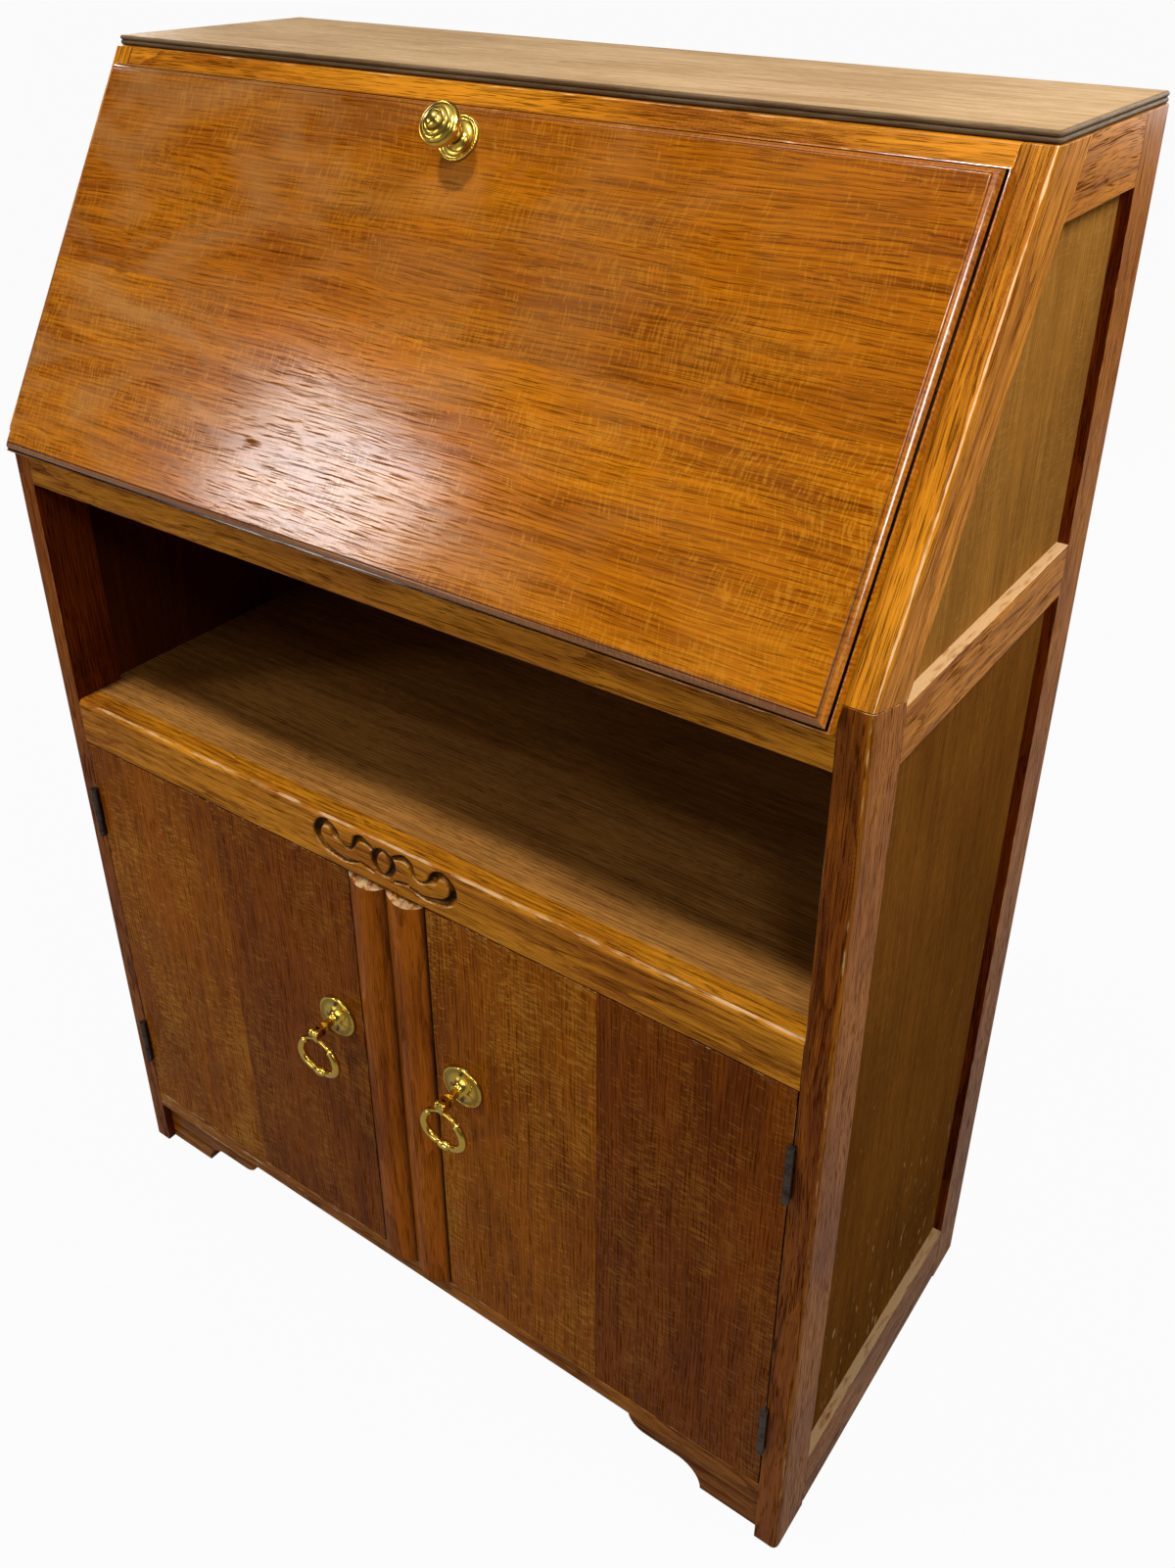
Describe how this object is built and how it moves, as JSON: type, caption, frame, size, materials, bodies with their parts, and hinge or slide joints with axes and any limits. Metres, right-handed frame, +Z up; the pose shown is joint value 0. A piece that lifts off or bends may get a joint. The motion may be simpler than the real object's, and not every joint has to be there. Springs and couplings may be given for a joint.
{
  "type": "writing bureau",
  "caption": "Oak writing bureau with a sloping fall front that opens to a writing surface, an open shelf below it and a cupboard with hinged doors, drop pulls and a turned knob.",
  "frame": {"origin": "on the floor, under the middle of the bureau's overall box", "axes": "+Z up, +X to the right as seen from the front, -Y out of the front towards the person using it"},
  "size_m": [0.762, 0.3892, 1.074],
  "materials": {
    "oak": "golden-brown stained and polished oak",
    "oak_fall": "French-polished oak boards with the grain across",
    "oak_door": "polished quarter-sawn oak veneer with the grain upright",
    "oak_panel": "satin brown oak plywood",
    "back_ply": "unpolished plywood",
    "brass": "polished and lacquered",
    "steel": "dark oxidised mild steel"
  },
  "bodies": {
    "carcass": {"top_board": "oak_panel", "head_rail": "oak", "fall_rail": "oak", "writing_bed": "oak", "shelf_board": "oak_panel", "shelf_rail": "oak", "centre_muntin": "oak", "cupboard_floor": "oak_panel", "bottom_rail": "oak", "left_bracket": "oak", "right_bracket": "oak", "back_panel": "back_ply", "left_front_stile": "oak", "left_slope_stile": "oak", "left_rear_stile": "oak", "left_side_top_rail": "oak", "left_side_mid_rail": "oak", "left_side_bottom_rail": "oak", "left_upper_side_panel": "oak_panel", "left_lower_side_panel": "oak_panel", "right_front_stile": "oak", "right_slope_stile": "oak", "right_rear_stile": "oak", "right_side_top_rail": "oak", "right_side_mid_rail": "oak", "right_side_bottom_rail": "oak", "right_upper_side_panel": "oak_panel", "right_lower_side_panel": "oak_panel", "pigeonhole_left_end": "oak_panel", "pigeonhole_left_divider": "oak_panel", "pigeonhole_right_divider": "oak_panel", "pigeonhole_right_end": "oak_panel", "pigeonhole_shelf": "oak_panel", "left_fall_hinge_fixed_leaf": "steel", "right_fall_hinge_fixed_leaf": "steel", "left_stay_guide": "steel", "right_stay_guide": "steel", "left_door_lower_hinge_fixed_leaf": "steel", "left_door_upper_hinge_fixed_leaf": "steel", "right_door_lower_hinge_fixed_leaf": "steel", "right_door_upper_hinge_fixed_leaf": "steel"},
    "fall": {"fall_panel": "oak_fall", "fall_knob": "brass", "knob_rose": "brass", "left_fall_hinge_moving_leaf": "steel", "right_fall_hinge_moving_leaf": "steel", "left_stay_bracket": "steel", "right_stay_bracket": "steel"},
    "left_stay": {"left_stay": "steel"},
    "right_stay": {"right_stay": "steel"},
    "left_door": {"left_door": "oak_door", "left_door_lower_hinge_moving_leaf": "steel", "left_door_upper_hinge_moving_leaf": "steel", "left_pull_rose": "brass"},
    "right_door": {"right_door": "oak_door", "right_door_lower_hinge_moving_leaf": "steel", "right_door_upper_hinge_moving_leaf": "steel", "right_pull_rose": "brass"},
    "left_ring": {"left_pull_ring": "brass"},
    "right_ring": {"right_pull_ring": "brass"}
  },
  "joints": [
    {"name": "fall_hinge", "type": "hinge", "parent": "carcass", "child": "fall", "pos_m": [0, -0.1694, 0.7879], "axis": [1, 0, 0], "range_deg": [0, 120.7]},
    {"name": "left_stay_pivot", "type": "hinge", "parent": "fall", "child": "left_stay", "pos_m": [-0.3544, -0.1055, 0.87788], "axis": [1, 0, 0], "range_deg": [-87, 0]},
    {"name": "right_stay_pivot", "type": "hinge", "parent": "fall", "child": "right_stay", "pos_m": [0.3544, -0.1055, 0.87788], "axis": [1, 0, 0], "range_deg": [-87, 0]},
    {"name": "left_door_hinge", "type": "hinge", "parent": "carcass", "child": "left_door", "pos_m": [-0.3599, -0.1667, 0.289], "axis": [0, 0, -1], "range_deg": [0, 170]},
    {"name": "right_door_hinge", "type": "hinge", "parent": "carcass", "child": "right_door", "pos_m": [0.3599, -0.1667, 0.289], "axis": [0, 0, 1], "range_deg": [0, 170]},
    {"name": "left_ring_pivot", "type": "hinge", "parent": "left_door", "child": "left_ring", "pos_m": [-0.0694, -0.1904, 0.338], "axis": [-1, 0, 0], "range_deg": [-15, 90]},
    {"name": "right_ring_pivot", "type": "hinge", "parent": "right_door", "child": "right_ring", "pos_m": [0.0694, -0.1904, 0.338], "axis": [-1, 0, 0], "range_deg": [-15, 90]}
  ],
  "couplings": [
    {"joint": "left_stay_pivot", "follows": "fall_hinge", "ratio": -0.72},
    {"joint": "right_stay_pivot", "follows": "fall_hinge", "ratio": -0.72}
  ]
}
